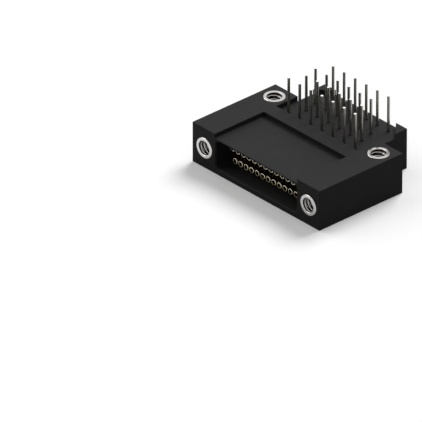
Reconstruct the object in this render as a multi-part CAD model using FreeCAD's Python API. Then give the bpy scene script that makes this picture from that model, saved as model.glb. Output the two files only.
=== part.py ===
import FreeCAD, Part
import math
import os

# Right-angle board connector, socket half, lying on its flat top face.
# Millimetres. The board side looks up (+Z) and the mating face looks along -Y.
# The origin is on the resting face, under the middle of the moulding's outline.

# Contact layout
contact_pitch = 1.27
upper_contacts = 13
contact_row_gap = 2.00
contact_drop = 3.62

# Tubular sockets
socket_outer = 1.00
socket_bore = 0.64
socket_bore_length = 3.40
socket_length = 9.40
socket_setback = 2.00
socket_clearance = 0.02
crimp_outer = 0.84
crimp_barrel_length = 2.60
crimp_grip = 2.00

# Solid wire tails
tail_diameter = 0.46
tail_bend_headroom = 0.10
tail_reach = 5.50
tail_tip_chamfer = 0.06
tail_hole_clearance = 0.05

# Mating cavity
cavity_depth = 5.60
cavity_end_room = 1.12
cavity_side_room = 0.95
cavity_corner_radius = 0.65
mouth_lead_in = 0.20
mouth_lip = 0.20

# Moulded housing
body_height = 7.07
ear_length = 5.15
flange_depth = 17.48
insulator_wall = 5.10
pocket_run = 10.30
cross_bar_width = 2.62
recess_sink = 0.82
first_row_gap = 0.96
foot_leg = 2.57

# Potting well and its filling
well_side_room = 0.68
well_rear_room = 0.40
well_rear_wall = 1.30
well_corner_radius = 1.80
well_floor = 0.90
potting_sink = 0.12

# Threaded inserts
insert_outer = 3.60
insert_edge = 2.65
jack_insert_length = 9.00
jack_thread_depth = 7.60
thread_minor = 2.24
countersink_mouth = 2.80
groove_depth = 0.25
groove_width = 1.40

# Worked-out sizes
lower_contacts = upper_contacts - 1
contact_half_span = (upper_contacts - 1) * contact_pitch / 2
tail_row_pitch = 2 * contact_pitch
cavity_length = 2 * contact_half_span + socket_outer + 2 * cavity_end_room
cavity_height = contact_row_gap + socket_outer + 2 * cavity_side_room
body_length = cavity_length + 2 * mouth_lead_in
flange_length = body_length + 2 * ear_length
first_row_depth = pocket_run + cross_bar_width + first_row_gap
well_rear_depth = first_row_depth + 3 * tail_row_pitch + well_rear_room
overall_depth = well_rear_depth + well_rear_wall
front_y = -overall_depth / 2
contact_height = body_height - contact_drop
upper_row_z = contact_height + contact_row_gap / 2
lower_row_z = contact_height - contact_row_gap / 2
pocket_floor_z = contact_height + cavity_height / 2 + mouth_lead_in + mouth_lip
recess_floor_z = body_height - recess_sink
well_floor_z = recess_floor_z - well_floor
tail_bend_radius = well_floor_z - upper_row_z - tail_bend_headroom
insert_x = flange_length / 2 - insert_edge
tail_tip_z = body_height + tail_reach


def at_depth(depth):
    """Y of a plane that lies this deep behind the mating face."""
    return front_y + depth


def block(half_length, depth_from, depth_to, z_from, z_to):
    """Box centred across the length, between two depths and two heights."""
    corner = FreeCAD.Vector(-half_length, at_depth(depth_from), z_from)
    return Part.makeBox(2 * half_length, depth_to - depth_from, z_to - z_from, corner)


def prism(points, z_from, z_to):
    """Upright prism over a closed outline of (x, depth) points."""
    corners = [FreeCAD.Vector(x, at_depth(depth), z_from) for x, depth in points]
    outline = Part.makePolygon(corners + corners[:1])
    return Part.Face(outline).extrude(FreeCAD.Vector(0, 0, z_to - z_from))


def turned(profile, base, direction):
    """Solid of revolution: (radius, height) points turned about an axis."""
    corners = [FreeCAD.Vector(radius, 0, height) for radius, height in profile]
    outline = Part.makePolygon(corners + corners[:1])
    solid = Part.Face(outline).revolve(FreeCAD.Vector(0, 0, 0), FreeCAD.Vector(0, 0, 1), 360)
    turn = FreeCAD.Rotation(FreeCAD.Vector(0, 0, 1), direction)
    solid.Placement = FreeCAD.Placement(base, turn)
    return solid


def rounded_rectangle(depth, length, height, radius):
    """Wire of a rounded rectangle across the mating axis, centred on the contacts."""
    y = at_depth(depth)
    half_x = length / 2 - radius
    half_z = height / 2 - radius
    edges = []
    corners = [(half_x, half_z), (-half_x, half_z), (-half_x, -half_z), (half_x, -half_z)]
    for quarter, (x, dz) in enumerate(corners):
        start = math.radians(90 * quarter)
        points = []
        for step in range(3):
            angle = start + math.radians(45 * step)
            point_x = x + radius * math.cos(angle)
            point_z = contact_height + dz + radius * math.sin(angle)
            points.append(FreeCAD.Vector(point_x, y, point_z))
        if edges:
            edges.append(Part.makeLine(edges[-1].lastVertex().Point, points[0]))
        edges.append(Part.Arc(*points).toShape())
    edges.append(Part.makeLine(edges[-1].lastVertex().Point, edges[0].firstVertex().Point))
    return Part.Wire(edges)


def contact_places():
    """Each contact as (x, row height, depth of its tail): upper row first."""
    places = []
    for index in range(upper_contacts):
        x = index * contact_pitch - contact_half_span
        places.append((x, upper_row_z, first_row_depth + (index % 2) * tail_row_pitch))
    for index in range(lower_contacts):
        x = (index + 0.5) * contact_pitch - contact_half_span
        places.append((x, lower_row_z, first_row_depth + (2 + index % 2) * tail_row_pitch))
    return places


def socket_profile():
    """Half section of a socket: open mouth at height 0, crimp barrel at the rear."""
    shoulder = socket_length - crimp_barrel_length
    return [
        (0, socket_bore_length),
        (socket_bore / 2, socket_bore_length),
        (socket_bore / 2, 0),
        (socket_outer / 2, 0),
        (socket_outer / 2, shoulder),
        (crimp_outer / 2, shoulder),
        (crimp_outer / 2, socket_length),
        (tail_diameter / 2, socket_length),
        (tail_diameter / 2, socket_length - crimp_grip),
        (0, socket_length - crimp_grip),
    ]


def make_socket(x, row_z):
    """Tubular socket lying along the mating axis with its mouth at the setback."""
    mouth = FreeCAD.Vector(x, at_depth(socket_setback), row_z)
    return turned(socket_profile(), mouth, FreeCAD.Vector(0, 1, 0))


def make_tail(x, row_z, row_depth):
    """Round wire: out of the crimp, one right-angle bend, up past the board side."""
    start_y = at_depth(socket_setback + socket_length - crimp_grip)
    row_y = at_depth(row_depth)
    slant = tail_bend_radius * (1 - math.sqrt(0.5))
    start = FreeCAD.Vector(x, start_y, row_z)
    bend_from = FreeCAD.Vector(x, row_y - tail_bend_radius, row_z)
    bend_middle = FreeCAD.Vector(x, row_y - slant, row_z + slant)
    bend_to = FreeCAD.Vector(x, row_y, row_z + tail_bend_radius)
    tip = FreeCAD.Vector(x, row_y, tail_tip_z)
    path = Part.Wire([
        Part.makeLine(start, bend_from),
        Part.Arc(bend_from, bend_middle, bend_to).toShape(),
        Part.makeLine(bend_to, tip),
    ])
    section = Part.Wire(Part.makeCircle(tail_diameter / 2, start, FreeCAD.Vector(0, 1, 0)))
    wire = path.makePipeShell([section], True, False)
    tip_edges = [edge for edge in wire.Edges if edge.BoundBox.ZMin > tail_tip_z - 0.001]
    return wire.makeChamfer(tail_tip_chamfer, tip_edges)


def grooved_outline(length, radius):
    """Outer side of an insert from its mouth to its far end, with the keying groove."""
    groove_from = (length - groove_width) / 2
    groove_to = (length + groove_width) / 2
    return [
        (radius, 0),
        (radius, groove_from),
        (radius - groove_depth, groove_from),
        (radius - groove_depth, groove_to),
        (radius, groove_to),
        (radius, length),
    ]


def insert_profile(length, thread_depth):
    """Half section of a threaded insert, mouth at height 0, bored at the minor diameter."""
    bore = thread_minor / 2
    mouth = countersink_mouth / 2
    profile = grooved_outline(length, insert_outer / 2)
    if thread_depth < length:
        profile = profile + [(0, length), (0, thread_depth), (bore, thread_depth)]
    else:
        profile = profile + [(bore, length)]
    return profile + [(bore, mouth - bore), (mouth, 0)]


def insert_envelope(length):
    """Half section of the room that an insert takes in the moulding."""
    return grooved_outline(length, insert_outer / 2) + [(0, length), (0, 0)]


def jack_mouth(side):
    """Centre of a mating-face insert's mouth, on the contacts' centre line."""
    return FreeCAD.Vector(side * insert_x, front_y, contact_height)


def board_mouth(side):
    """Centre of a board-side insert's mouth, as far in from the rear as from the side."""
    return FreeCAD.Vector(side * insert_x, at_depth(flange_depth - insert_edge), body_height)


def make_cavity():
    """Room of the mating cavity, with its flared mouth."""
    mouth = rounded_rectangle(
        0, body_length, cavity_height + 2 * mouth_lead_in, cavity_corner_radius + mouth_lead_in
    )
    throat = rounded_rectangle(mouth_lead_in, cavity_length, cavity_height, cavity_corner_radius)
    flare = Part.makeLoft([mouth, throat], True, True)
    run = FreeCAD.Vector(0, cavity_depth - mouth_lead_in, 0)
    return flare.fuse(Part.Face(throat).extrude(run)).removeSplitter()


def make_well(z_from):
    """Room of the potting well above a height, with its two rounded rear corners."""
    half = contact_half_span + well_side_room
    well = block(half, cavity_depth + insulator_wall, well_rear_depth, z_from, well_floor_z)
    rear_y = well.BoundBox.YMax
    rear_edges = []
    for edge in well.Edges:
        box = edge.BoundBox
        if box.YMin > rear_y - 0.001 and box.XLength < 0.001:
            rear_edges.append(edge)
    return well.makeFillet(well_corner_radius, rear_edges)


def make_shell():
    """Moulding's outer form: flange, rear block, board-side pocket, bar and corner feet."""
    half_body = body_length / 2
    half_flange = flange_length / 2
    outline = [
        (-half_flange, 0),
        (half_flange, 0),
        (half_flange, flange_depth),
        (half_body, flange_depth),
        (half_body, overall_depth),
        (-half_body, overall_depth),
        (-half_body, flange_depth),
        (-half_flange, flange_depth),
    ]
    shell = prism(outline, 0, body_height)
    pocket = block(half_body, 0, pocket_run, pocket_floor_z, body_height)
    recess_from = pocket_run + cross_bar_width
    recess = prism(
        [
            (-half_body, recess_from),
            (half_body, recess_from),
            (half_body, overall_depth - foot_leg),
            (half_body - foot_leg, overall_depth),
            (foot_leg - half_body, overall_depth),
            (-half_body, overall_depth - foot_leg),
        ],
        recess_floor_z,
        body_height,
    )
    return shell.cut([pocket, recess])


def make_housing():
    """One-piece moulding with its cavity, well, contact bores, tail holes and seats."""
    rooms = [make_cavity(), make_well(0)]
    bore_radius = socket_outer / 2 + socket_clearance
    hole_radius = tail_diameter / 2 + tail_hole_clearance
    up = FreeCAD.Vector(0, 0, 1)
    back = FreeCAD.Vector(0, 1, 0)
    for x, row_z, row_depth in contact_places():
        bore_base = FreeCAD.Vector(x, at_depth(cavity_depth), row_z)
        rooms.append(Part.makeCylinder(bore_radius, insulator_wall, bore_base, back))
        hole_base = FreeCAD.Vector(x, at_depth(row_depth), well_floor_z)
        rooms.append(Part.makeCylinder(hole_radius, well_floor, hole_base, up))
    for side in (-1, 1):
        rooms.append(turned(insert_envelope(jack_insert_length), jack_mouth(side), back))
        rooms.append(turned(insert_envelope(body_height), board_mouth(side), -up))
    return make_shell().cut(rooms)


def make_potting(sockets, tails):
    """Resin that fills the well round the crimp barrels and the wires."""
    return make_well(potting_sink).cut(sockets + tails)


def single(shape):
    """The one solid of a shape."""
    solids = shape.Solids
    if len(solids) != 1:
        raise ValueError("expected one solid, found %d" % len(solids))
    return solids[0]


def build_parts():
    """Every piece of the connector by its node name."""
    places = contact_places()
    sockets = [single(make_socket(x, row_z)) for x, row_z, _ in places]
    tails = [single(make_tail(*place)) for place in places]
    parts = {"housing": single(make_housing())}
    parts["potting_block"] = single(make_potting(sockets, tails))
    for side, word in ((-1, "left"), (1, "right")):
        jack = insert_profile(jack_insert_length, jack_thread_depth)
        board = insert_profile(body_height, body_height)
        parts["jack_insert_" + word] = turned(jack, jack_mouth(side), FreeCAD.Vector(0, 1, 0))
        parts["board_insert_" + word] = turned(board, board_mouth(side), FreeCAD.Vector(0, 0, -1))
    for number, socket in enumerate(sockets, start=1):
        parts["socket_%02d" % number] = socket
    for number, tail in enumerate(tails, start=1):
        parts["tail_%02d" % number] = tail
    return parts


os.makedirs("parts", exist_ok=True)
for node, shape in build_parts().items():
    shape.exportStep("parts/%s.step" % node)
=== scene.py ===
import math

import bmesh
import bpy
from bpy.props import FloatProperty, FloatVectorProperty, IntProperty, PointerProperty
from mathutils import Matrix, Vector


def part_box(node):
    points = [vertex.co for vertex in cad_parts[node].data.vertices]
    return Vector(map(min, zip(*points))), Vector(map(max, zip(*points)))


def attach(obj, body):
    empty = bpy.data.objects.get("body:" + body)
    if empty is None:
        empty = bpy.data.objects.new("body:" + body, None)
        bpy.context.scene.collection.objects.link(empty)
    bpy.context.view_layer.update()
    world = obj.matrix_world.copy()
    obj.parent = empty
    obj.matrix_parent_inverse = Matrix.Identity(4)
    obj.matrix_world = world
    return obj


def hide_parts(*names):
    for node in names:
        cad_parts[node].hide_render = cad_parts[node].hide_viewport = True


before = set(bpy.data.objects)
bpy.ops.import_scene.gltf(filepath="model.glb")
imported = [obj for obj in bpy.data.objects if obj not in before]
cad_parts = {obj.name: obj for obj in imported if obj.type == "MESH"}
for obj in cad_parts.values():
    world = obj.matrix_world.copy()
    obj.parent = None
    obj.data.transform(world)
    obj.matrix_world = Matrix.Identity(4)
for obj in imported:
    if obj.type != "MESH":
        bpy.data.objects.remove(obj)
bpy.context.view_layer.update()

bl_info = {
    "name": "Right-angle board connector",
    "version": (1, 0, 0),
    "blender": (4, 5, 0),
    "location": "3D View > Sidebar > Connector",
    "description": "Dresses the packed connector with its moulding, resin and metal pieces",
    "category": "Object",
}

# Shapes are modelled in millimetres and brought to metres when a piece is finished.
MM = 0.001
BODY = "root"
DOWN = Vector((0, 0, -1))
REARWARD = Vector((0, 1, 0))

# Points of one mesh that lie nearer than this are merged.
SEAM = 0.0002
# Facets round a hole and round a socket, and steps in each rounding of a socket's lip.
ROUND_FACETS = 32
LIP_STEPS = 3
# Place of the first straight ring behind a socket's lip, in roundings of that lip.
LIP_RING = 1.5
# Height of the cone that a drill leaves, as a share of its radius.
DRILL_CONE = 0.6
# How far a cutting room stands out of the face that it opens in: a large one, and a hole.
ROOM_OVERSHOOT = 1.0
HOLE_OVERSHOOT = 0.2
# How far a contact's bore or hole runs on into the room behind it.
ROOM_OVERLAP = 0.1
# Gaps round a socket in its bore and round a wire in its hole.
SOCKET_GAP = 0.02
WIRE_GAP = 0.05
# Flats of the thread's profile as shares of its pitch, and steps along each flank.
CREST_FLAT = 0.25
ROOT_FLAT = 0.125
FLANK_STEPS = 4

# A metal's tone, with its painted shade in the thread's valleys and the sockets' bores, and the
# lip's roughness start to change this far past a named distance, and change over this width.
VALLEY_SHADE_FADE = (0.02, 0.05)
OUTSIDE_FADE = (-0.05, 0.03)
MOUTH_FADE = (0.0, 0.03)
BORE_SHADE_FADE = (0.06, 0.02)
LIP_FADE = (0.0, 0.02)
# Noise keeps mostly between these values.
NOISE_LOW = 0.3
NOISE_HIGH = 0.7
# Sockets of a Mix node for colours, which share their names with those for numbers.
MIX_MASK, MIX_FIRST, MIX_SECOND, MIX_RESULT = 0, 6, 7, 2


def node_box(node):
    """Lowest and highest corners of a CAD node, in millimetres."""
    low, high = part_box(node)
    return low / MM, high / MM


def node_middle(node):
    """Middle of a CAD node's box, in millimetres."""
    low, high = node_box(node)
    return (low + high) / 2


HOUSING_LOW, HOUSING_HIGH = node_box("housing")
SOCKET_LOW, SOCKET_HIGH = node_box("socket_01")
TAIL_LOW, TAIL_HIGH = node_box("tail_01")
FRONT_Y = HOUSING_LOW.y
BODY_HEIGHT = HOUSING_HIGH.z
OVERALL_DEPTH = HOUSING_HIGH.y - HOUSING_LOW.y
HALF_FLANGE = HOUSING_HIGH.x
SOCKET_RADIUS = (SOCKET_HIGH.z - SOCKET_LOW.z) / 2
WIRE_RADIUS = (TAIL_HIGH.x - TAIL_LOW.x) / 2

UPPER_SOCKETS = ["socket_%02d" % number for number in range(1, 14)]
LOWER_SOCKETS = ["socket_%02d" % number for number in range(14, 26)]
TAIL_ROWS = [
    ["tail_%02d" % number for number in range(first, last, 2)]
    for first, last in ((1, 14), (2, 14), (14, 26), (15, 26))
]
# Each insert's CAD node, its piece, the direction into it, and whether it is open at both ends.
INSERTS = [
    (kind + "_insert_" + side, kind + "_thread_insert_" + side, direction, through)
    for side in ("left", "right")
    for kind, direction, through in (("jack", REARWARD, False), ("board", DOWN, True))
]


def size(name, default, description):
    """Length property with its default in millimetres."""
    return FloatProperty(
        name=name, description=description, default=default * MM, min=0.0,
        precision=5, subtype="DISTANCE", unit="LENGTH",
    )


def degrees(name, default, description):
    """Angle property with its default in degrees."""
    return FloatProperty(
        name=name, description=description, default=math.radians(default),
        subtype="ANGLE", unit="ROTATION",
    )


def colour(name, default, description):
    """Colour property with linear values."""
    return FloatVectorProperty(
        name=name, description=description, default=default, min=0.0, max=1.0,
        size=4, subtype="COLOR",
    )


def share(name, default, description):
    """Plain factor without a unit."""
    return FloatProperty(
        name=name, description=description, default=default, min=0.0, max=1.0, subtype="FACTOR",
    )


def amount(name, default, least, description):
    """Whole number, with the least that it may be."""
    return IntProperty(name=name, description=description, default=default, min=least)


def power(name, default, description):
    """Strength of a lamp."""
    return FloatProperty(name=name, description=description, default=default, min=0.0)


def heading(name, default, description):
    """Direction of any length."""
    return FloatVectorProperty(
        name=name, description=description, default=default, subtype="XYZ",
    )


class MouldingSettings(bpy.types.PropertyGroup):
    """Sizes and colour of the moulded housing"""

    ear_length: size("Ear length", 5.15, "How far each flange ear stands out past the body")
    flange_depth: size("Flange depth", 17.48, "Depth of the flange behind the mating face")
    pocket_run: size("Pocket run", 10.30, "Length of the board-side pocket")
    pocket_sink: size("Pocket sink", 0.77, "Depth of the board-side pocket")
    bar_width: size("Cross bar width", 2.62, "Width of the bar between pocket and pin recess")
    recess_sink: size("Recess sink", 0.82, "Depth of the pin recess")
    foot_leg: size("Foot leg", 2.57, "Length of each leg of the two corner feet")
    edge_round: size("Edge rounding", 0.06, "Radius of the moulded edges")
    cavity_depth: size("Cavity depth", 5.60, "Depth of the mating cavity")
    cavity_length: size("Cavity length", 18.48, "Length of the mating cavity behind its flare")
    cavity_height: size("Cavity height", 4.90, "Height of the mating cavity behind its flare")
    cavity_corner: size("Cavity corner radius", 0.65, "Radius of the mating cavity's corners")
    mouth_flare: size("Mouth flare", 0.20, "Width of the flare round the cavity's mouth")
    well_half_length: size("Well half length", 8.30, "Half the length of the potting well")
    well_front: size("Well front", 10.70, "Depth at which the potting well starts")
    well_rear: size("Well rear", 21.90, "Depth at which the potting well ends")
    well_corner: size("Well corner radius", 1.80, "Radius of the potting well's rear corners")
    well_roof: size("Well roof height", 5.35, "Height of the potting well's closed end")
    hole_lead: size("Hole lead-in", 0.05, "Width of the chamfer at each hole's edge")
    base: colour("Moulding colour", (0.0240, 0.0240, 0.0245, 1), "Colour of the black moulding")
    shine: share("Specular level", 0.04, "Reflectance of the moulding's surface")


class PottingSettings(bpy.types.PropertyGroup):
    """Sizes and colour of the resin in the well"""

    climb: size("Meniscus climb", 0.07, "How far the resin climbs the well's wall")
    reach: size("Meniscus reach", 0.38, "How far in from the wall the resin levels out")
    root: size("Meniscus root", 0.30, "How far the meniscus goes on inside the resin")
    steps: amount("Meniscus steps", 8, 2, "Sections across the meniscus")
    base: colour("Resin colour", (0.0150, 0.0150, 0.0160, 1), "Colour of the cast resin")
    shine: share("Specular level", 0.20, "Reflectance of the resin's surface")


class InsertSettings(bpy.types.PropertyGroup):
    """Sizes and colours of the four threaded inserts"""

    thread_pitch: size("Thread pitch", 0.635, "Advance of the thread in one turn")
    minor_radius: size("Minor radius", 1.12, "Radius at the thread's crests")
    major_radius: size("Major radius", 1.38, "Radius at the thread's roots")
    mouth_radius: size("Mouth radius", 1.23, "Radius of the plain mouth before the thread")
    mouth_depth: size("Mouth depth", 0.30, "Depth of the plain mouth before the thread")
    thread_turn: degrees("Thread start", -139.0, "Turn of the thread's start about its axis")
    mouth_chamfer: size("Mouth chamfer", 0.05, "Chamfer at the inner edge of the mouth face")
    rim_chamfer: size("Rim chamfer", 0.09, "Chamfer round the outer edge of the mouth face")
    blind_thread: size("Blind thread depth", 7.30, "Length of thread in the mating-face inserts")
    blind_depth: size("Blind hole depth", 7.60, "Depth of the plain hole below that thread")
    groove_depth: size("Groove depth", 0.25, "Depth of the keying groove round each insert")
    groove_width: size("Groove width", 1.40, "Width of the keying groove round each insert")
    columns: amount("Columns", 72, 12, "Facets round one turn of the thread")
    base: colour("Insert colour", (0.60, 0.59, 0.58, 1), "Colour of the plated steel")
    # Painted shade: this dark colour stands in for the shadow in the thread's valleys.
    bore: colour("Thread colour", (0.07, 0.062, 0.055, 1), "Colour in the thread's valleys")


class SocketSettings(bpy.types.PropertyGroup):
    """Sizes and colours of the tubular sockets"""

    bore_radius: size("Bore radius", 0.32, "Radius of the socket's bore")
    bore_depth: size("Bore depth", 3.40, "Depth of the socket's bore")
    lip_round: size("Lip rounding", 0.03, "Rounding of the tube's lip")
    barrel_radius: size("Crimp barrel radius", 0.42, "Radius of the crimp barrel")
    barrel_length: size("Crimp barrel length", 2.60, "Length of the crimp barrel")
    base: colour("Plating colour", (1.0, 0.89, 0.66, 1), "Colour of the gold plating")
    # Painted shade: this near-black colour stands in for the shadow inside the tubes.
    bore: colour("Bore colour", (0.05, 0.035, 0.02, 1), "Colour inside the tubes")
    side_roughness: share("Side roughness", 0.10, "Roughness of the tubes behind their lips")


class TailSettings(bpy.types.PropertyGroup):
    """Sizes and colours of the wire tails"""

    bend_radius: size("Bend radius", 0.80, "Radius of each wire's bend at its middle line")
    tip_chamfer: size("Tip chamfer", 0.03, "Chamfer round each wire's cut tip")
    bend_steps: amount("Bend steps", 10, 3, "Sections along each wire's bend")
    facets: amount("Facets", 24, 8, "Facets round each wire")
    base: colour("Tinning colour", (0.37, 0.36, 0.325, 1), "Colour of the tinned wire")
    # Painted highlight: this pale colour stands in for the light that each wire's cut tip
    # reflects.
    cut_face: colour("Cut face colour", (0.93, 0.92, 0.89, 1), "Colour of each wire's cut tip")


class StageSettings(bpy.types.PropertyGroup):
    """Floor, lamps and camera"""

    floor_size: size("Floor size", 4000.0, "Length of the floor's sides")
    floor_gap: size("Floor gap", 0.02, "How far the floor lies below the connector")
    floor_colour: colour("Floor colour", (0.86, 0.86, 0.86, 1), "Colour of the floor where seen")
    floor_bounce: colour("Floor bounce", (0.10, 0.10, 0.10, 1), "Colour that lights the object")
    floor_glow: share("Floor glow", 0.15, "Glow that brings the seen floor to white")
    key_heading: heading("Key direction", (-1.0, 5.55, 7.07), "Way to the soft lamp behind")
    key_energy: power("Key strength", 2.45, "Strength of the soft lamp behind")
    key_spread: degrees("Key spread", 34, "Apparent angle of the soft lamp behind")
    side_heading: heading("Side direction", (-7.0, -3.0, 7.0), "Way to the weak lamp at the left")
    side_energy: power("Side strength", 0.75, "Strength of the weak lamp at the left")
    side_spread: degrees("Side spread", 50, "Apparent angle of the weak lamp at the left")
    ambient: share("Ambient level", 0.25, "Level of the surroundings as light on the object")
    lens: FloatProperty(
        name="Lens", description="Focal length of the camera in millimetres", default=1509.7,
        min=10.0, unit="CAMERA",
    )
    camera_aim: FloatVectorProperty(
        name="Camera aim", description="Point that the camera looks at",
        default=tuple(Vector((-1.220, -19.849, 0.0)) * MM), precision=5,
        subtype="TRANSLATION", unit="LENGTH",
    )
    camera_heading: heading(
        "Camera direction", (0.63988, -0.58134, 0.5026), "Way from the aim to the camera"
    )
    camera_distance: size("Camera distance", 2737.70, "Distance from the camera to its aim")


def add_node(tree, kind, inputs=None, **attributes):
    """New node in a shader or geometry tree; a socket as a value is linked."""
    node = tree.nodes.new(kind)
    for name, value in attributes.items():
        setattr(node, name, value)
    for name, value in (inputs or {}).items():
        if isinstance(value, bpy.types.NodeSocket):
            tree.links.new(value, node.inputs[name])
        else:
            node.inputs[name].default_value = value
    return node


def start_tree(name, kind, inputs, output):
    """Node tree with named inputs and one output, and its input node."""
    tree = bpy.data.node_groups.new(name, kind)
    sockets = tree.interface
    for label, holds, default in inputs:
        entry = sockets.new_socket(label, in_out="INPUT", socket_type="NodeSocket" + holds)
        if default is not None:
            entry.default_value = default
    label, holds = output
    sockets.new_socket(label, in_out="OUTPUT", socket_type="NodeSocket" + holds)
    return tree, tree.nodes.new("NodeGroupInput")


def once(build):
    """Decorator: a node tree bears its builder's name and is built only if there is none."""
    name = build.__name__
    return lambda: bpy.data.node_groups.get(name) or build(name)


def start_group(name, inputs):
    """Shader node group with named inputs that puts out one value, and its input node."""
    return start_tree(name, "ShaderNodeTree", inputs, ("Value", "Float"))


def end_group(tree, value, limits):
    """Ends a group: a value mapped between limits."""
    mapped = add_node(tree, "ShaderNodeMapRange", {"Value": value, **limits})
    add_node(tree, "NodeGroupOutput", {"Value": mapped.outputs["Result"]})


def end_noise_group(tree, given, noise):
    """Ends a group: noise mapped between Low and High."""
    end_group(tree, noise.outputs["Fac"], {
        "From Min": NOISE_LOW,
        "From Max": NOISE_HIGH,
        "To Min": given.outputs["Low"],
        "To Max": given.outputs["High"],
    })


@once
def grain_group(name):
    """Shader node group: fine noise on Object coordinates, mapped between two values."""
    tree, given = start_group(name, [
        ("Scale", "Float", 1000.0),
        ("Detail", "Float", 3.0),
        ("Low", "Float", 0.0),
        ("High", "Float", 1.0),
        ("Stretch", "Vector", (1.0, 1.0, 1.0)),
    ])
    place = tree.nodes.new("ShaderNodeTexCoord")
    stretched = add_node(
        tree, "ShaderNodeVectorMath",
        {0: place.outputs["Object"], 1: given.outputs["Stretch"]}, operation="MULTIPLY",
    )
    noise = add_node(tree, "ShaderNodeTexNoise", {
        "Vector": stretched.outputs[0],
        "Scale": given.outputs["Scale"],
        "Detail": given.outputs["Detail"],
    })
    end_noise_group(tree, given, noise)
    return tree


@once
def turning_group(name):
    """Shader node group: fine rings about a piece's own axis, from its radius attribute."""
    tree, given = start_group(name, [
        ("Scale", "Float", 20.0),
        ("Low", "Float", 0.0),
        ("High", "Float", 1.0),
    ])
    radius = add_node(tree, "ShaderNodeAttribute", attribute_name="from_axis")
    noise = add_node(
        tree, "ShaderNodeTexNoise",
        {"W": radius.outputs["Fac"], "Scale": given.outputs["Scale"], "Detail": 2.0},
        noise_dimensions="1D",
    )
    end_noise_group(tree, given, noise)
    return tree


@once
def rise_group(name):
    """Shader node group: mask that rises from 0 to 1 as a distance passes two values."""
    tree, given = start_group(name, [
        ("Distance", "Float", 0.0),
        ("From", "Float", 0.0),
        ("To", "Float", 1.0),
    ])
    end_group(tree, given.outputs["Distance"], {
        "From Min": given.outputs["From"],
        "From Max": given.outputs["To"],
    })
    return tree


def place_group(tree, group, values):
    """Value of a shader node group in a material, with the group's inputs set or linked."""
    return add_node(tree, "ShaderNodeGroup", values, node_tree=group).outputs["Value"]


def distance_mask(tree, attribute, passed, fade):
    """Mask that rises where a distance kept on the mesh passes a value, in millimetres."""
    distance = add_node(tree, "ShaderNodeAttribute", attribute_name=attribute)
    start, width = fade
    return place_group(tree, rise_group(), {
        "Distance": distance.outputs["Fac"],
        "From": passed + start,
        "To": passed + start + width,
    })


def blended(tree, mask, first, second):
    """Colour that goes from one to another with a mask."""
    node = add_node(
        tree, "ShaderNodeMix", {MIX_MASK: mask, MIX_FIRST: first, MIX_SECOND: second},
        data_type="RGBA",
    )
    return node.outputs[MIX_RESULT]


def uneven(tree, mask, base, least, most):
    """Base colour that drifts with a mask between two factors of its strength."""
    first, second = (
        tuple(channel * factor for channel in base[:3]) + (1.0,) for factor in (least, most)
    )
    return blended(tree, mask, first, second)


def new_material(name, plain):
    """Material with one Principled BSDF; plain values are set on its own sockets."""
    material = bpy.data.materials.new(name)
    material.use_nodes = True
    surface = material.node_tree.nodes["Principled BSDF"]
    for socket, value in plain.items():
        surface.inputs[socket].default_value = value
    return material, material.node_tree


def finish_surface(tree, tone, rough, height, depth, strength):
    """Feeds a material's colour, roughness and a bump, whose depth is in millimetres."""
    surface = tree.nodes["Principled BSDF"]
    bump = add_node(
        tree, "ShaderNodeBump",
        {"Height": height, "Distance": depth * MM, "Strength": strength},
    )
    tree.links.new(tone, surface.inputs["Base Color"])
    tree.links.new(rough, surface.inputs["Roughness"])
    tree.links.new(bump.outputs["Normal"], surface.inputs["Normal"])


def moulding_material(settings):
    """Black filled plastic: fine spark-eroded texture and a slight drift of shade."""
    material, tree = new_material("black_moulding", {"Specular IOR Level": settings.shine})
    grain = grain_group()
    drift = place_group(tree, grain, {"Scale": 420.0, "Detail": 4.0})
    finish_surface(
        tree,
        tone=uneven(tree, drift, settings.base, 0.94, 1.06),
        rough=place_group(
            tree, grain, {"Scale": 2600.0, "Detail": 3.0, "Low": 0.42, "High": 0.52}
        ),
        height=place_group(tree, grain, {"Scale": 16000.0, "Detail": 2.0}),
        depth=0.008,
        strength=0.35,
    )
    return material


def resin_material(settings):
    """Cast resin: satin, slightly uneven, with slow waves from its shrinkage."""
    material, tree = new_material("potting_resin", {"Specular IOR Level": settings.shine})
    grain = grain_group()
    drift = place_group(tree, grain, {"Scale": 300.0, "Detail": 5.0})
    finish_surface(
        tree,
        tone=uneven(tree, drift, settings.base, 0.88, 1.12),
        rough=place_group(
            tree, grain, {"Scale": 900.0, "Detail": 3.0, "Low": 0.28, "High": 0.40}
        ),
        height=place_group(tree, grain, {"Scale": 380.0, "Detail": 2.0}),
        depth=0.03,
        strength=0.5,
    )
    return material


def steel_material(settings):
    """Plated steel with turning marks about its axis, and painted shade in the thread's valleys
    below the mouth.
    """
    material, tree = new_material("insert_steel", {"Metallic": 1.0})
    turning = turning_group()
    marks = place_group(tree, turning, {"Scale": 14.0})
    plated = uneven(tree, marks, settings.base, 0.95, 1.05)
    # Painted shade: below the mouth, the thread's flanks and valleys take the dark colour, while
    # crests and roots stay plated.
    valley_shade = distance_mask(tree, "from_axis", settings.minor_radius / MM, VALLEY_SHADE_FADE)
    thread = blended(tree, valley_shade, plated, tuple(settings.bore))
    outside = distance_mask(tree, "from_axis", settings.major_radius / MM, OUTSIDE_FADE)
    below = distance_mask(tree, "from_mouth", settings.mouth_chamfer / MM, MOUTH_FADE)
    finish_surface(
        tree,
        tone=blended(tree, below, plated, blended(tree, outside, thread, plated)),
        rough=place_group(tree, turning, {"Scale": 22.0, "Low": 0.04, "High": 0.09}),
        height=place_group(tree, turning, {"Scale": 30.0}),
        depth=0.002,
        strength=0.2,
    )
    return material


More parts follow.
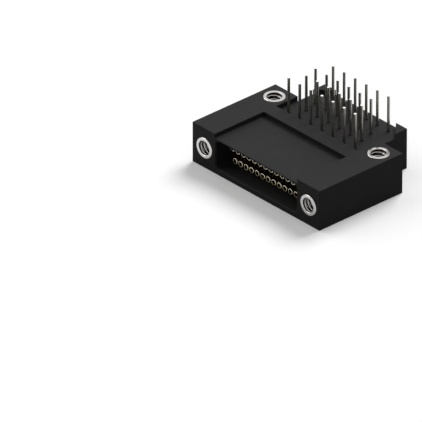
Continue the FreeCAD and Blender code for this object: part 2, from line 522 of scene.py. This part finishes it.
def gold_material(settings):
    """Gold plating: warm and slightly uneven, with a duller turned lip and painted shade in its
    bore.
    """
    material, tree = new_material("gold_plating", {"Metallic": 1.0})
    turning = turning_group()
    drift = place_group(tree, grain_group(), {"Scale": 2400.0, "Detail": 3.0})
    plated = uneven(tree, drift, settings.base, 0.92, 1.04)
    # Painted shade: the inside of the bore and its inner lip take the near-black colour.
    wall = distance_mask(tree, "from_axis", settings.bore_radius / MM, BORE_SHADE_FADE)
    lip = place_group(tree, turning, {"Scale": 40.0, "Low": 0.28, "High": 0.36})
    behind = distance_mask(tree, "from_mouth", settings.lip_round / MM, LIP_FADE)
    finish_surface(
        tree,
        tone=blended(tree, wall, tuple(settings.bore), plated),
        rough=blended(tree, behind, lip, (settings.side_roughness,) * 3 + (1.0,)),
        height=place_group(tree, turning, {"Scale": 60.0}),
        depth=0.002,
        strength=0.3,
    )
    return material


def wire_material(settings):
    """Tinned wire: warm grey metal with drawn lines along its rise and a painted highlight on its
    cut tip.
    """
    material, tree = new_material("tinned_wire", {"Metallic": 1.0})
    grain = grain_group()
    along = (1.0, 1.0, 0.03)
    cloud = place_group(tree, grain, {"Scale": 900.0, "Detail": 3.0})
    tinned = uneven(tree, cloud, settings.base, 0.86, 1.10)
    # Painted highlight: the cut tip takes the pale colour, which fades down its chamfer.
    side = distance_mask(tree, "from_tip", 0.0, (0.0, settings.tip_chamfer / MM))
    finish_surface(
        tree,
        tone=blended(tree, side, tuple(settings.cut_face), tinned),
        rough=place_group(
            tree, grain, {"Scale": 14000.0, "Stretch": along, "Low": 0.20, "High": 0.34}
        ),
        height=place_group(tree, grain, {"Scale": 22000.0, "Stretch": along}),
        depth=0.003,
        strength=0.3,
    )
    return material


def to_mesh(shape, name):
    """Merges doubles, turns the faces outwards and gives the mesh."""
    bmesh.ops.remove_doubles(shape, verts=shape.verts, dist=SEAM)
    bmesh.ops.recalc_face_normals(shape, faces=shape.faces)
    mesh = bpy.data.meshes.new(name)
    shape.to_mesh(mesh)
    shape.free()
    return mesh


def skin(name, rings, loop=False, caps=False):
    """Mesh through rings of points; every ring ends on its first point."""
    shape = bmesh.new()
    rows = [[shape.verts.new(point) for point in ring] for ring in rings]
    if loop:
        rows.append(rows[0])
    for near, far in zip(rows, rows[1:]):
        for corners in zip(near, near[1:], far[1:], far):
            shape.faces.new(corners)
    if caps:
        shape.faces.new(rows[0][:-1])
        shape.faces.new(rows[-1][:-1])
    return to_mesh(shape, name)


def circle(radius, height, columns):
    """Ring of a turned shape; it ends on its first point."""
    step = 2 * math.pi / columns
    return [
        Vector((radius * math.cos(step * column), radius * math.sin(step * column), height))
        for column in range(columns + 1)
    ]


def quarter(x, y, radius, start, steps):
    """Points of a quarter circle about (x, y), from a start angle in degrees."""
    angles = [math.radians(start + 90 * step / steps) for step in range(steps + 1)]
    return [(x + radius * math.cos(angle), y + radius * math.sin(angle)) for angle in angles]


def keep_distance(mesh, name, measure):
    """Keeps a distance of each point, in millimetres, as an attribute for the material."""
    attribute = mesh.attributes.new(name, "FLOAT", "POINT")
    attribute.data.foreach_set("value", [measure(vertex.co) for vertex in mesh.vertices])


def stood(mesh, base, direction):
    """Turned mesh, stood on a base along a direction, with its distance from its axis kept."""
    keep_distance(mesh, "from_axis", lambda place: place.xy.length)
    tilt = direction.to_track_quat("Z", "Y").to_matrix().to_4x4()
    mesh.transform(Matrix.Translation(base) @ tilt)
    return mesh


def turned(name, profile, base, direction):
    """Mesh turned from (radius, height) points about an axis."""
    rings = [circle(radius, height, ROUND_FACETS) for radius, height in profile]
    return stood(skin(name, rings), base, direction)


def at_depth(x, depth, z):
    """Point a given depth behind the mating face."""
    return Vector((x, FRONT_Y + depth, z))


def linked(name, data):
    """Object that holds data, in the scene."""
    piece = bpy.data.objects.new(name, data)
    bpy.context.scene.collection.objects.link(piece)
    return piece


def plain_mesh(carrier):
    """Plain mesh of an object with its modifiers worked out; the object goes."""
    graph = bpy.context.evaluated_depsgraph_get()
    mesh = bpy.data.meshes.new_from_object(carrier.evaluated_get(graph), depsgraph=graph)
    carrier.modifiers.clear()
    bpy.data.objects.remove(carrier)
    return mesh


def run_tree(data, tree, values):
    """Plain mesh that a Geometry Nodes tree makes from a mesh or a curve."""
    carrier = linked(tree.name, data)
    modifier = carrier.modifiers.new(tree.name, "NODES")
    modifier.node_group = tree
    entries = {
        entry.name: entry.identifier for entry in tree.interface.items_tree
        if entry.in_out == "INPUT"
    }
    for name, value in values.items():
        modifier[entries[name]] = value
    return plain_mesh(carrier)


ROW_INPUTS = [
    ("Count", "Int", 1),
    ("Step", "Float", 1.0),
    ("Material", "Material", None),
]


def start_geometry(name, inputs):
    """Geometry Nodes tree with a geometry, named inputs and those of a row, and its input node."""
    inputs = [("Geometry", "Geometry", None)] + inputs + ROW_INPUTS
    return start_tree(name, "GeometryNodeTree", inputs, ("Geometry", "Geometry"))


def repeat_along_row(tree, given, geometry):
    """Ends a tree: the geometry repeated along X, realized, with its material."""
    offset = add_node(tree, "ShaderNodeCombineXYZ", {"X": given.outputs["Step"]})
    line = add_node(tree, "GeometryNodeMeshLine", {
        "Count": given.outputs["Count"],
        "Offset": offset.outputs["Vector"],
    })
    placed = add_node(tree, "GeometryNodeInstanceOnPoints", {
        "Points": line.outputs["Mesh"],
        "Instance": geometry,
    })
    real = add_node(tree, "GeometryNodeRealizeInstances", {
        "Geometry": placed.outputs["Instances"],
    })
    painted = add_node(tree, "GeometryNodeSetMaterial", {
        "Geometry": real.outputs["Geometry"],
        "Material": given.outputs["Material"],
    })
    add_node(tree, "NodeGroupOutput", {"Geometry": painted.outputs["Geometry"]})


@once
def row_tree(name):
    """Geometry Nodes tree that repeats one modelled piece along a contact row."""
    tree, given = start_geometry(name, [])
    repeat_along_row(tree, given, given.outputs["Geometry"])
    return tree


@once
def wire_tree(name):
    """Geometry Nodes tree that sweeps a round wire along a path and repeats it in a row."""
    tree, given = start_geometry(name, [
        ("Wire radius", "Float", 0.2),
        ("Facets", "Int", 24),
    ])
    section = add_node(tree, "GeometryNodeCurvePrimitiveCircle", {
        "Resolution": given.outputs["Facets"],
        "Radius": given.outputs["Wire radius"],
    })
    wire = add_node(tree, "GeometryNodeCurveToMesh", {
        "Curve": given.outputs["Geometry"],
        "Profile Curve": section.outputs["Curve"],
        "Fill Caps": True,
    })
    repeat_along_row(tree, given, wire.outputs["Mesh"])
    return tree


def row_values(nodes, material=None):
    """Row inputs of a tree for the nodes of one contact row."""
    step = (node_middle(nodes[1]) - node_middle(nodes[0])).x
    return {"Count": len(nodes), "Step": step, "Material": material}


def row_of(mesh, nodes, material=None):
    """The mesh, modelled at the first node's place, repeated at each node of its row."""
    return run_tree(mesh, row_tree(), row_values(nodes, material))


def finished(name, mesh, nodes, material, smooth=None):
    """Piece of the object in metres, riding on its body, in place of its CAD nodes."""
    mesh.transform(Matrix.Scale(MM, 4))
    mesh.name = name
    mesh.materials.clear()
    mesh.materials.append(material)
    if smooth is None:
        mesh.shade_flat()
    else:
        mesh.shade_smooth()
        mesh.set_sharp_from_angle(angle=math.radians(smooth))
    piece = linked(name, mesh)
    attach(piece, BODY)
    if nodes:
        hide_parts(*nodes)
    return piece


def rounded_rectangle(low, high, radii, steps=10):
    """Points round a rectangle, with a radius for each corner from the highest one on."""
    corners = (
        (high[0], high[1], -1, -1), (low[0], high[1], 1, -1),
        (low[0], low[1], 1, 1), (high[0], low[1], -1, 1),
    )
    points = []
    for number, ((x, y, in_x, in_y), radius) in enumerate(zip(corners, radii)):
        points += quarter(x + in_x * radius, y + in_y * radius, radius, 90 * number, steps)
    return points + points[:1]


def well_ring(settings, outset, z):
    """Ring of the potting well at a height, moved outwards by an outset."""
    half = settings.well_half_length / MM + outset
    rear_radius = settings.well_corner / MM + outset
    outline = rounded_rectangle(
        (-half, settings.well_front / MM - outset),
        (half, settings.well_rear / MM + outset),
        (rear_radius, rear_radius, 0, 0),
    )
    return [at_depth(x, depth, z) for x, depth in outline]


def cavity_ring(settings, outset, depth):
    """Ring of the mating cavity at a depth, moved outwards by an outset."""
    half_x = settings.cavity_length / MM / 2 + outset
    half_z = settings.cavity_height / MM / 2 + outset
    radius = settings.cavity_corner / MM + outset
    middle = node_middle("jack_insert_left").z
    outline = rounded_rectangle(
        (-half_x, middle - half_z), (half_x, middle + half_z), (radius,) * 4
    )
    return [at_depth(x, depth, z) for x, z in outline]


def open_room(name, settings, ring, lead, end):
    """Room to cut out, from in front of its open face to its end, with a lead-in at the face."""
    places = ((lead, -ROOM_OVERSHOOT), (lead, 0), (0, lead), (0, end))
    return skin(name, [ring(settings, outset, place) for outset, place in places], caps=True)


def hole_room(name, radius, lead, length, base, direction):
    """Round hole with a chamfered mouth; the base is the middle of the mouth."""
    profile = [
        (0, -HOLE_OVERSHOOT), (radius + lead, -HOLE_OVERSHOOT), (radius + lead, 0),
        (radius, lead), (radius, length), (0, length),
    ]
    return turned(name, profile, base, direction)


def housing_faces(settings):
    """Outer faces of the moulding before its rooms and holes are cut."""
    top = BODY_HEIGHT
    pocket = top - settings.pocket_sink / MM
    recess = top - settings.recess_sink / MM
    flange = HALF_FLANGE
    body = flange - settings.ear_length / MM
    ear_rear = settings.flange_depth / MM
    rear = OVERALL_DEPTH
    run = settings.pocket_run / MM
    bar = run + settings.bar_width / MM
    leg = settings.foot_leg / MM
    faces = [
        [(-flange, 0, 0), (flange, 0, 0), (flange, ear_rear, 0), (body, ear_rear, 0),
         (body, rear, 0), (-body, rear, 0), (-body, ear_rear, 0), (-flange, ear_rear, 0)],
        [(-flange, 0, 0), (flange, 0, 0), (flange, 0, top), (body, 0, top),
         (body, 0, pocket), (-body, 0, pocket), (-body, 0, top), (-flange, 0, top)],
        [(body, rear, 0), (-body, rear, 0), (-body, rear, top), (leg - body, rear, top),
         (leg - body, rear, recess), (body - leg, rear, recess), (body - leg, rear, top),
         (body, rear, top)],
        [(-flange, 0, top), (-body, 0, top), (-body, run, top), (body, run, top),
         (body, 0, top), (flange, 0, top), (flange, ear_rear, top), (body, ear_rear, top),
         (body, bar, top), (-body, bar, top), (-body, ear_rear, top),
         (-flange, ear_rear, top)],
        [(-body, 0, pocket), (body, 0, pocket), (body, run, pocket), (-body, run, pocket)],
        [(-body, run, pocket), (body, run, pocket), (body, run, top), (-body, run, top)],
        [(-body, bar, recess), (body, bar, recess), (body, ear_rear, recess),
         (body, rear - leg, recess), (body - leg, rear, recess), (leg - body, rear, recess),
         (-body, rear - leg, recess), (-body, ear_rear, recess)],
        [(-body, bar, recess), (body, bar, recess), (body, bar, top), (-body, bar, top)],
    ]
    for side in (-1, 1):
        wing = side * flange
        wall = side * body
        inner = side * (body - leg)
        faces += [
            [(wall, 0, pocket), (wall, run, pocket), (wall, run, top), (wall, 0, top)],
            [(wall, bar, recess), (wall, ear_rear, recess), (wall, ear_rear, top),
             (wall, bar, top)],
            [(wing, 0, 0), (wing, ear_rear, 0), (wing, ear_rear, top), (wing, 0, top)],
            [(wing, ear_rear, 0), (wall, ear_rear, 0), (wall, ear_rear, recess),
             (wall, ear_rear, top), (wing, ear_rear, top)],
            [(wall, ear_rear, 0), (wall, rear, 0), (wall, rear, top), (wall, rear - leg, top),
             (wall, rear - leg, recess), (wall, ear_rear, recess)],
            [(wall, rear - leg, top), (wall, rear, top), (inner, rear, top)],
            [(wall, rear - leg, recess), (inner, rear, recess), (inner, rear, top),
             (wall, rear - leg, top)],
        ]
    return faces


def housing_shell(settings):
    """Moulding's outer form with rounded edges."""
    shape = bmesh.new()
    for face in housing_faces(settings):
        shape.faces.new([shape.verts.new(at_depth(*corner)) for corner in face])
    carrier = linked("shell", to_mesh(shape, "shell"))
    rounding = carrier.modifiers.new("edges", "BEVEL")
    rounding.width = settings.edge_round / MM
    rounding.segments = 3
    rounding.limit_method = "ANGLE"
    rounding.angle_limit = math.radians(30)
    return plain_mesh(carrier)


def cut(mesh, rooms):
    """The mesh with rooms taken out of it."""
    shape = bmesh.new()
    for room in rooms:
        shape.from_mesh(room)
    joined = bpy.data.meshes.new("rooms")
    shape.to_mesh(joined)
    shape.free()
    carrier = linked("cut", mesh)
    cutter = linked("rooms", joined)
    removal = carrier.modifiers.new("rooms", "BOOLEAN")
    removal.operation = "DIFFERENCE"
    removal.solver = "EXACT"
    removal.object = cutter
    result = plain_mesh(carrier)
    bpy.data.objects.remove(cutter)
    return result


def large_rooms(settings):
    """Mating cavity, potting well and the seats of the four inserts."""
    lead = settings.hole_lead / MM
    flare = settings.mouth_flare / MM
    rooms = [
        open_room("cavity", settings, cavity_ring, flare, settings.cavity_depth / MM),
        open_room("well", settings, well_ring, lead, settings.well_roof / MM),
    ]
    for node, _, direction, through in INSERTS:
        base, radius, length = insert_seat(node, direction)
        if through:
            length += ROOM_OVERSHOOT
        rooms.append(hole_room("seat", radius, lead, length, base, direction))
    return rooms


def contact_rooms(settings):
    """Bores for the sockets and holes for the wires, each a repeated row."""
    lead = settings.hole_lead / MM
    depth = settings.cavity_depth / MM
    recess = BODY_HEIGHT - settings.recess_sink / MM
    bore_length = settings.well_front / MM - depth + ROOM_OVERLAP
    hole_length = recess - settings.well_roof / MM + ROOM_OVERLAP
    rooms = []
    for nodes in (UPPER_SOCKETS, LOWER_SOCKETS):
        first = node_middle(nodes[0])
        base = at_depth(first.x, depth, first.z)
        radius = SOCKET_RADIUS + SOCKET_GAP
        bore = hole_room("bore", radius, lead, bore_length, base, REARWARD)
        rooms.append(row_of(bore, nodes))
    for nodes in TAIL_ROWS:
        row_y = node_box(nodes[0])[1].y - WIRE_RADIUS
        base = Vector((node_middle(nodes[0]).x, row_y, recess))
        hole = hole_room("hole", WIRE_RADIUS + WIRE_GAP, lead, hole_length, base, DOWN)
        rooms.append(row_of(hole, nodes))
    return rooms


def insert_seat(node, direction):
    """Middle of an insert's mouth, its outer radius and its length."""
    low, high = node_box(node)
    middle = (low + high) / 2
    radius = (high.x - low.x) / 2
    length = abs((high - low).dot(direction))
    return middle - direction * length / 2, radius, length


def thread_radius(settings, turns):
    """Radius of the internal thread after this many pitches: crests inwards, roots outwards."""
    minor = settings.minor_radius / MM
    major = settings.major_radius / MM
    ramp = abs(2 * (turns % 1) - 1)
    rise = (ramp - CREST_FLAT) / (1 - ROOT_FLAT - CREST_FLAT)
    return minor + (major - minor) * min(max(rise, 0), 1)


def thread_rings(settings, start, end):
    """Helical rings of the thread, from its far end back to its start below the mouth."""
    flank = (1 - ROOT_FLAT - CREST_FLAT) / 2
    rise = [ROOT_FLAT / 2 + flank * step / FLANK_STEPS for step in range(FLANK_STEPS + 1)]
    corners = rise + [1 - corner for corner in reversed(rise)]
    pitch = settings.thread_pitch / MM
    columns = settings.columns
    rings = []
    # The turns go past both ends of the thread, because a ring climbs one pitch on its way round.
    for turn in range(math.ceil(end / pitch), -2, -1):
        for corner in reversed(corners):
            ring = []
            for column in range(columns + 1):
                lead = column / columns
                height = min(max((turn + corner + lead) * pitch, start), end)
                radius = thread_radius(settings, height / pitch - lead)
                angle = 2 * math.pi * lead
                ring.append(Vector((radius * math.cos(angle), radius * math.sin(angle), height)))
            rings.append(ring)
    return rings


def insert_mesh(settings, node, direction, through):
    """Threaded insert: grooved outside, chamfered rim, plain mouth and real thread."""
    base, radius, length = insert_seat(node, direction)
    rim = settings.rim_chamfer / MM
    groove = radius - settings.groove_depth / MM
    groove_from = (length - settings.groove_width / MM) / 2
    groove_to = (length + settings.groove_width / MM) / 2
    outside = [
        (radius - rim, 0), (radius, rim), (radius, groove_from), (groove, groove_from),
        (groove, groove_to), (radius, groove_to),
    ]
    inner = settings.mouth_radius / MM
    start = settings.mouth_depth / MM
    chamfer = settings.mouth_chamfer / MM
    mouth = [(inner, start), (inner, chamfer), (inner + chamfer, 0)]
    if through:
        end = length - start
        outside += [(radius, length - rim), (radius - rim, length)]
        far = [(edge, length - height) for edge, height in reversed(mouth)]
    else:
        end = settings.blind_thread / MM
        minor = settings.minor_radius / MM
        depth = settings.blind_depth / MM
        outside += [(radius, length), (0, length)]
        far = [(0, depth + DRILL_CONE * minor), (minor, depth), (minor, end)]
    rings = [circle(*point, settings.columns) for point in outside + far]
    rings += thread_rings(settings, start, end)
    rings += [circle(*point, settings.columns) for point in mouth]
    mesh = skin(node, rings, loop=True)
    mesh.transform(Matrix.Rotation(settings.thread_turn, 4, "Z"))
    keep_distance(
        mesh, "from_mouth",
        lambda place: min(place.z, length - place.z) if through else place.z,
    )
    return stood(mesh, base, direction)


def socket_mesh(settings, node):
    """Tubular socket with a rounded lip, a bore and a crimp barrel."""
    low, high = node_box(node)
    middle = (low + high) / 2
    outer = (high.z - low.z) / 2
    length = high.y - low.y
    bore = settings.bore_radius / MM
    lip = settings.lip_round / MM
    depth = settings.bore_depth / MM
    barrel = settings.barrel_radius / MM
    shoulder = length - settings.barrel_length / MM
    profile = [(0, depth + DRILL_CONE * bore), (bore, depth), (bore, LIP_RING * lip)]
    profile += quarter(bore + lip, lip, lip, 180, LIP_STEPS)
    profile += quarter(outer - lip, lip, lip, 270, LIP_STEPS)
    profile += [
        (outer, LIP_RING * lip), (outer, shoulder), (barrel, shoulder), (barrel, length),
        (0, length),
    ]
    mesh = turned(node, profile, Vector((middle.x, low.y, middle.z)), REARWARD)
    keep_distance(mesh, "from_mouth", lambda place: place.y - low.y)
    return mesh


def tail_path(settings, node):
    """Curve along a wire's middle line: crimp, bend, rise and chamfered tip."""
    low, high = node_box(node)
    radius = (high.x - low.x) / 2
    x = (low.x + high.x) / 2
    row_y = high.y - radius
    row_z = low.z + radius
    bend = settings.bend_radius / MM
    chamfer = settings.tip_chamfer / MM
    points = [(x, low.y, row_z, 1.0)]
    for step in range(settings.bend_steps + 1):
        angle = math.pi / 2 * step / settings.bend_steps
        y = row_y - bend + bend * math.sin(angle)
        points.append((x, y, row_z + bend - bend * math.cos(angle), 1.0))
    points.append((x, row_y, high.z - chamfer, 1.0))
    points.append((x, row_y, high.z, 1.0 - chamfer / radius))
    curve = bpy.data.curves.new(node, "CURVE")
    curve.dimensions = "3D"
    spline = curve.splines.new("POLY")
    spline.points.add(len(points) - 1)
    for point, (px, py, pz, size_factor) in zip(spline.points, points):
        point.co = (px, py, pz, 1.0)
        point.radius = size_factor
    return curve


class CONNECTOR_OT_housing(bpy.types.Operator):
    """Model the moulded housing with rounded edges, cavity, well and contact holes"""

    bl_idname = "connector.housing"
    bl_label = "Moulded housing"

    def execute(self, context):
        settings = context.scene.connector_moulding
        mesh = cut(housing_shell(settings), large_rooms(settings))
        mesh = cut(mesh, contact_rooms(settings))
        if not mesh.polygons:
            raise RuntimeError("the housing came out empty")
        material = moulding_material(settings)
        finished("moulded_housing", mesh, ["housing"], material)
        return {"FINISHED"}


class CONNECTOR_OT_potting(bpy.types.Operator):
    """Finish the resin in the potting well and give it a meniscus"""

    bl_idname = "connector.potting"
    bl_label = "Potting resin"

    def execute(self, context):
        settings = context.scene.connector_potting
        moulding = context.scene.connector_moulding
        material = resin_material(settings)
        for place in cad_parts["potting_block"].material_slots:
            place.material = material
        level = node_box("potting_block")[0].z
        climb = settings.climb / MM
        reach = settings.reach / MM
        root = level + settings.root / MM
        rings = [well_ring(moulding, 0, root)]
        for step in range(settings.steps + 1):
            inset = step / settings.steps
            rings.append(well_ring(moulding, -inset * reach, level - climb * (1 - inset) ** 2))
        rings.append(well_ring(moulding, -reach, root))
        mesh = skin("meniscus", rings, loop=True)
        finished("resin_meniscus", mesh, [], material, smooth=40)
        return {"FINISHED"}


class CONNECTOR_OT_inserts(bpy.types.Operator):
    """Model the four threaded inserts with real threads"""

    bl_idname = "connector.inserts"
    bl_label = "Threaded inserts"

    def execute(self, context):
        settings = context.scene.connector_inserts
        material = steel_material(settings)
        for node, name, direction, through in INSERTS:
            mesh = insert_mesh(settings, node, direction, through)
            finished(name, mesh, [node], material, smooth=30)
        return {"FINISHED"}


class CONNECTOR_OT_sockets(bpy.types.Operator):
    """Model one socket for each contact row and repeat it along the row"""

    bl_idname = "connector.sockets"
    bl_label = "Tubular sockets"

    def execute(self, context):
        settings = context.scene.connector_sockets
        material = gold_material(settings)
        for name, nodes in (("upper", UPPER_SOCKETS), ("lower", LOWER_SOCKETS)):
            mesh = row_of(socket_mesh(settings, nodes[0]), nodes, material)
            finished("sockets_" + name, mesh, nodes, material, smooth=50)
        return {"FINISHED"}


class CONNECTOR_OT_tails(bpy.types.Operator):
    """Sweep one wire along its path and repeat it, for each of the four rows"""

    bl_idname = "connector.tails"
    bl_label = "Wire tails"

    def execute(self, context):
        settings = context.scene.connector_tails
        material = wire_material(settings)
        for number, nodes in enumerate(TAIL_ROWS, start=1):
            mesh = run_tree(tail_path(settings, nodes[0]), wire_tree(), {
                "Wire radius": WIRE_RADIUS,
                "Facets": settings.facets,
                **row_values(nodes, material),
            })
            top = node_box(nodes[0])[1].z
            keep_distance(mesh, "from_tip", lambda place: top - place.z)
            name = "tails_row_%d" % number
            finished(name, mesh, nodes, material, smooth=35)
        return {"FINISHED"}


def seen_rays(tree):
    """Mask of the rays that show the background: camera, glossy and transmission rays."""
    path = tree.nodes.new("ShaderNodeLightPath")
    first = add_node(tree, "ShaderNodeMath", {
        0: path.outputs["Is Camera Ray"], 1: path.outputs["Is Glossy Ray"],
    }, operation="MAXIMUM")
    both = add_node(tree, "ShaderNodeMath", {
        0: first.outputs[0], 1: path.outputs["Is Transmission Ray"],
    }, operation="MAXIMUM")
    return both.outputs[0]


def make_floor(settings):
    """Pale floor that keeps shadows and runs to white."""
    half = settings.floor_size / 2
    below = -settings.floor_gap
    mesh = bpy.data.meshes.new("floor")
    corners = [
        (-half, -half, below), (half, -half, below), (half, half, below), (-half, half, below),
    ]
    mesh.from_pydata(corners, [], [(0, 1, 2, 3)])
    material = bpy.data.materials.new("pale_floor")
    material.use_nodes = True
    tree = material.node_tree
    tree.nodes.clear()
    seen = seen_rays(tree)
    tone = blended(tree, seen, tuple(settings.floor_bounce), tuple(settings.floor_colour))
    matt = add_node(tree, "ShaderNodeBsdfDiffuse", {"Color": tone})
    lift = add_node(
        tree, "ShaderNodeMath", {0: seen, 1: settings.floor_glow}, operation="MULTIPLY"
    )
    glow = add_node(tree, "ShaderNodeEmission", {"Strength": lift.outputs[0]})
    both = add_node(tree, "ShaderNodeAddShader", {0: matt.outputs[0], 1: glow.outputs[0]})
    add_node(tree, "ShaderNodeOutputMaterial", {"Surface": both.outputs[0]})
    mesh.materials.append(material)
    linked("floor", mesh)


def make_world(settings):
    """Surroundings: white where they are seen, weaker as light on the object."""
    world = bpy.data.worlds.new("surroundings")
    world.use_nodes = True
    tree = world.node_tree
    level = add_node(tree, "ShaderNodeMapRange", {
        "Value": seen_rays(tree), "To Min": settings.ambient, "To Max": 1.0,
    })
    background = tree.nodes["Background"]
    background.inputs["Color"].default_value = (1, 1, 1, 1)
    tree.links.new(level.outputs["Result"], background.inputs["Strength"])
    bpy.context.scene.world = world


def make_lamp(name, towards, energy, spread):
    """Soft far lamp; towards points from the connector to the lamp."""
    lamp = bpy.data.lights.new(name, "SUN")
    lamp.energy = energy
    lamp.angle = spread
    stand = linked(name, lamp)
    stand.rotation_euler = Vector(towards).to_track_quat("Z", "Y").to_euler()


def make_camera(settings):
    """Camera at the photograph's angle, far off with a long lens."""
    lens = bpy.data.cameras.new("camera")
    lens.lens = settings.lens
    lens.sensor_width = 36.0
    lens.clip_start = 0.1
    lens.clip_end = 20.0
    back = Vector(settings.camera_heading).normalized()
    camera = linked("camera", lens)
    camera.location = Vector(settings.camera_aim) + back * settings.camera_distance
    camera.rotation_euler = back.to_track_quat("Z", "Y").to_euler()
    bpy.context.scene.camera = camera


class CONNECTOR_OT_stage(bpy.types.Operator):
    """Set up the floor, the surroundings, the lamps and the camera"""

    bl_idname = "connector.stage"
    bl_label = "Stage"

    def execute(self, context):
        settings = context.scene.connector_stage
        make_floor(settings)
        make_world(settings)
        make_lamp("key_lamp", settings.key_heading, settings.key_energy, settings.key_spread)
        make_lamp("side_lamp", settings.side_heading, settings.side_energy, settings.side_spread)
        make_camera(settings)
        context.scene.view_settings.view_transform = "Standard"
        return {"FINISHED"}


STEPS = ("housing", "potting", "inserts", "sockets", "tails", "stage")

SETTINGS = {
    "connector_moulding": MouldingSettings,
    "connector_potting": PottingSettings,
    "connector_inserts": InsertSettings,
    "connector_sockets": SocketSettings,
    "connector_tails": TailSettings,
    "connector_stage": StageSettings,
}


class CONNECTOR_PT_panel(bpy.types.Panel):
    """Sidebar panel that lists the connector's pieces and their settings"""

    bl_idname = "CONNECTOR_PT_panel"
    bl_label = "Board connector"
    bl_space_type = "VIEW_3D"
    bl_region_type = "UI"
    bl_category = "Connector"

    def draw(self, context):
        for step, (name, group) in zip(STEPS, SETTINGS.items()):
            column = self.layout.column(align=True)
            column.operator("connector." + step)
            for entry in group.__annotations__:
                column.prop(getattr(context.scene, name), entry)


CLASSES = tuple(SETTINGS.values()) + (
    CONNECTOR_OT_housing,
    CONNECTOR_OT_potting,
    CONNECTOR_OT_inserts,
    CONNECTOR_OT_sockets,
    CONNECTOR_OT_tails,
    CONNECTOR_OT_stage,
    CONNECTOR_PT_panel,
)


def register():
    """Register the classes and hang their settings on the scene."""
    for entry in CLASSES:
        bpy.utils.register_class(entry)
    for name, group in SETTINGS.items():
        setattr(bpy.types.Scene, name, PointerProperty(type=group))


def unregister():
    """Take the settings off the scene and unregister the classes."""
    for name in SETTINGS:
        delattr(bpy.types.Scene, name)
    for entry in reversed(CLASSES):
        bpy.utils.unregister_class(entry)


def main():
    """Build every piece and the stage."""
    register()
    bpy.ops.connector.housing()
    bpy.ops.connector.potting()
    bpy.ops.connector.inserts()
    bpy.ops.connector.sockets()
    bpy.ops.connector.tails()
    bpy.ops.connector.stage()


if __name__ == "__main__":
    main()
